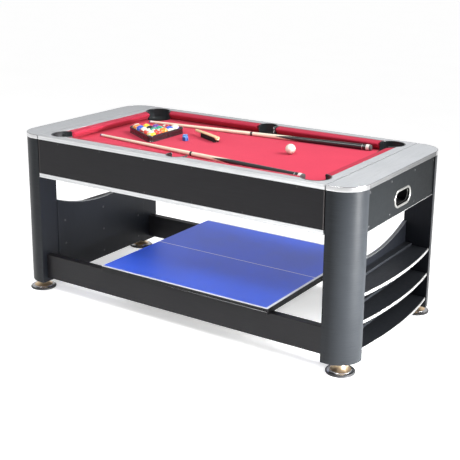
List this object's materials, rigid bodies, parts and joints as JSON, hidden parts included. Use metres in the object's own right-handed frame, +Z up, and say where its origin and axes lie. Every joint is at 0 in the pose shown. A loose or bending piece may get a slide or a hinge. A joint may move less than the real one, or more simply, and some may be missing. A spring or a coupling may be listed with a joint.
{
  "type": "rotating multi-game table",
  "caption": "Game table whose pool field turns over on pivots to a glide hockey field, with tennis half tops stored below and curved shelves at the ends.",
  "frame": {"origin": "on the floor, at the centre of the table", "axes": "+X along the table's length, +Y across it towards the back, +Z up"},
  "size_m": [1.868, 0.9144, 0.811],
  "materials": {
    "post_laminate": "satin brushed laminate",
    "black_laminate": "satin laminate",
    "silver_laminate": "satin silver laminate",
    "corner_chrome": "bright",
    "silver_trim": "satin ridged",
    "red_cloth": "woven",
    "red_cushion": "cloth covered",
    "bed_board": "plain board",
    "hockey_board": "gloss laminate",
    "pocket_plastic": "gloss black",
    "steel_part": "zinc plated",
    "bush_nylon": "natural nylon",
    "leveler_chrome": "bright dish with a brass cone on a black pad",
    "tennis_blue": "satin painted board with white lines",
    "cue_wood": "varnished maple",
    "rack_plastic": "moulded black",
    "ball_resin": "polished resin, each ball its own colour",
    "cue_ball_resin": "polished ivory resin",
    "chalk_blue": "dry chalk",
    "brush_wood": "varnished handle with black bristles"
  },
  "bodies": {
    "frame": {"post_front_left": "post_laminate", "post_front_right": "post_laminate", "post_back_left": "post_laminate", "post_back_right": "post_laminate", "leveler_inserts": "steel_part", "end_top_left": "silver_laminate", "end_top_right": "silver_laminate", "corner_trims": "corner_chrome", "end_edge_trims": "silver_trim", "end_apron_left": "black_laminate", "end_apron_right": "black_laminate", "window_bezels": "silver_trim", "apron_edge_strips": "silver_trim", "puck_trays": "pocket_plastic", "bearing_boards": "black_laminate", "pivot_bushes": "bush_nylon", "lock_guides": "bush_nylon", "end_panel_left": "black_laminate", "end_panel_right": "black_laminate", "end_panel_trims": "silver_trim", "shelves_left": "black_laminate", "shelves_right": "black_laminate", "shelf_edge_trims": "silver_trim", "shelf_battens": "black_laminate", "stretcher_front": "black_laminate", "stretcher_back": "black_laminate", "frame_screws": "steel_part"},
    "playfield": {"apron_front": "black_laminate", "apron_back": "black_laminate", "box_ends": "black_laminate", "pivot_pins": "steel_part", "pool_rail_front": "silver_laminate", "pool_rail_back": "silver_laminate", "pool_rail_ends": "silver_laminate", "side_edge_trims": "silver_trim", "pool_bed": "bed_board", "pool_cloth": "red_cloth", "cushions_long": "red_cushion", "cushions_end": "red_cushion", "corner_pockets": "pocket_plastic", "side_pockets": "pocket_plastic", "hockey_bed": "hockey_board", "hockey_rails": "silver_laminate", "apron_screws": "steel_part"},
    "leveler_front_left": {"leveler_front_left": "leveler_chrome"},
    "leveler_front_right": {"leveler_front_right": "leveler_chrome"},
    "leveler_back_left": {"leveler_back_left": "leveler_chrome"},
    "leveler_back_right": {"leveler_back_right": "leveler_chrome"},
    "lock_bolt_left": {"lock_bolt_left": "steel_part"},
    "lock_bolt_right": {"lock_bolt_right": "steel_part"},
    "tennis_top_lower": {"tennis_top_lower": "tennis_blue"},
    "tennis_top_upper": {"tennis_top_upper": "tennis_blue"},
    "cue_front": {"cue_front": "cue_wood"},
    "cue_back": {"cue_back": "cue_wood"},
    "ball_rack": {"ball_rack": "rack_plastic"},
    "racked_balls": {"racked_balls": "ball_resin"},
    "cue_ball": {"cue_ball": "cue_ball_resin"},
    "chalk_cubes": {"chalk_cubes": "chalk_blue"},
    "cloth_brush": {"cloth_brush": "brush_wood"}
  },
  "joints": [
    {"name": "table_turn", "type": "hinge", "parent": "frame", "child": "playfield", "pos_m": [0, 0, 0.7015], "axis": [1, 0, 0], "range_deg": [0, 180]},
    {"name": "leveler_front_left_screw", "type": "slide", "parent": "frame", "child": "leveler_front_left", "axis": [0, 0, -1], "range_m": [0, 0.02]},
    {"name": "leveler_front_right_screw", "type": "slide", "parent": "frame", "child": "leveler_front_right", "axis": [0, 0, -1], "range_m": [0, 0.02]},
    {"name": "leveler_back_left_screw", "type": "slide", "parent": "frame", "child": "leveler_back_left", "axis": [0, 0, -1], "range_m": [0, 0.02]},
    {"name": "leveler_back_right_screw", "type": "slide", "parent": "frame", "child": "leveler_back_right", "axis": [0, 0, -1], "range_m": [0, 0.02]},
    {"name": "lock_bolt_left_slide", "type": "slide", "parent": "frame", "child": "lock_bolt_left", "axis": [1, 0, 0], "range_m": [0, 0.018]},
    {"name": "lock_bolt_right_slide", "type": "slide", "parent": "frame", "child": "lock_bolt_right", "axis": [-1, 0, 0], "range_m": [0, 0.018]},
    {"name": "tennis_lower_lift", "type": "slide", "parent": "frame", "child": "tennis_top_lower", "axis": [0, 0, 1], "range_m": [0, 0.1]},
    {"name": "tennis_upper_lift", "type": "slide", "parent": "tennis_top_lower", "child": "tennis_top_upper", "axis": [0, 0, 1], "range_m": [0, 0.1]},
    {"name": "cue_front_lift", "type": "slide", "parent": "playfield", "child": "cue_front", "axis": [0, 0, 1], "range_m": [0, 0.15]},
    {"name": "cue_back_lift", "type": "slide", "parent": "playfield", "child": "cue_back", "axis": [0, 0, 1], "range_m": [0, 0.15]},
    {"name": "ball_rack_lift", "type": "slide", "parent": "playfield", "child": "ball_rack", "axis": [0, 0, 1], "range_m": [0, 0.15]},
    {"name": "racked_balls_lift", "type": "slide", "parent": "playfield", "child": "racked_balls", "axis": [0, 0, 1], "range_m": [0, 0.15]},
    {"name": "cue_ball_lift", "type": "slide", "parent": "playfield", "child": "cue_ball", "axis": [0, 0, 1], "range_m": [0, 0.15]},
    {"name": "chalk_cubes_lift", "type": "slide", "parent": "playfield", "child": "chalk_cubes", "axis": [0, 0, 1], "range_m": [0, 0.15]},
    {"name": "cloth_brush_lift", "type": "slide", "parent": "playfield", "child": "cloth_brush", "axis": [0, 0, 1], "range_m": [0, 0.15]}
  ]
}
